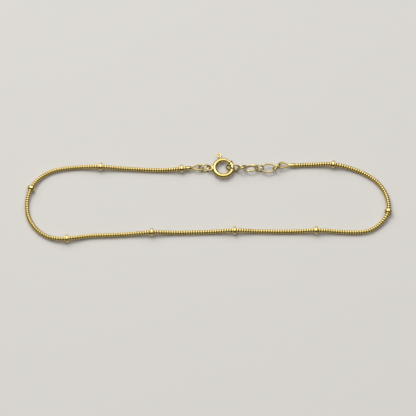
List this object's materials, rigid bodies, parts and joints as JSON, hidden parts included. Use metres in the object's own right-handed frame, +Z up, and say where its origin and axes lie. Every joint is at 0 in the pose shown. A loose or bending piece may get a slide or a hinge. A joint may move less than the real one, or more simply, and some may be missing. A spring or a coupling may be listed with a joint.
{
  "type": "snake chain bracelet",
  "caption": "Slim snake chain bracelet with bead stations, a spring ring clasp and oval extension links, lying closed in a flat loop.",
  "frame": {"origin": "centre of the bracelet's outline, on the surface that it lies on", "axes": "+Z up from the surface; +X along the loop's long way, to the right in the picture; +Y towards the clasp side"},
  "size_m": [0.0998, 0.0274, 0.0029],
  "materials": {
    "chain_gold": "polished gold colour, ridged",
    "bead_gold": "polished gold colour",
    "fitting_gold": "polished gold colour"
  },
  "bodies": {
    "bracelet": {"snake_chain_left": "chain_gold", "snake_chain_right": "chain_gold", "bead_1": "bead_gold", "bead_2": "bead_gold", "bead_3": "bead_gold", "bead_4": "bead_gold", "bead_5": "bead_gold", "bead_6": "bead_gold", "bead_7": "bead_gold", "bead_8": "bead_gold", "bead_9": "bead_gold", "end_cap_left": "fitting_gold", "end_cap_right": "fitting_gold", "jump_ring": "fitting_gold", "clasp_ring": "fitting_gold", "extension_link_1": "fitting_gold", "extension_link_2": "fitting_gold", "extension_link_3": "fitting_gold", "connector_ring_1": "fitting_gold", "connector_ring_2": "fitting_gold", "connector_ring_3": "fitting_gold"},
    "clasp_bolt": {"clasp_bolt": "fitting_gold"}
  },
  "joints": [
    {"name": "clasp_bolt_slides_round", "type": "hinge", "parent": "bracelet", "child": "clasp_bolt", "pos_m": [0.00406, 0.00918, 0.00115], "axis": [0, 0, 1], "range_deg": [0, 43], "stiffness_Nm_per_rad": 0.008}
  ]
}
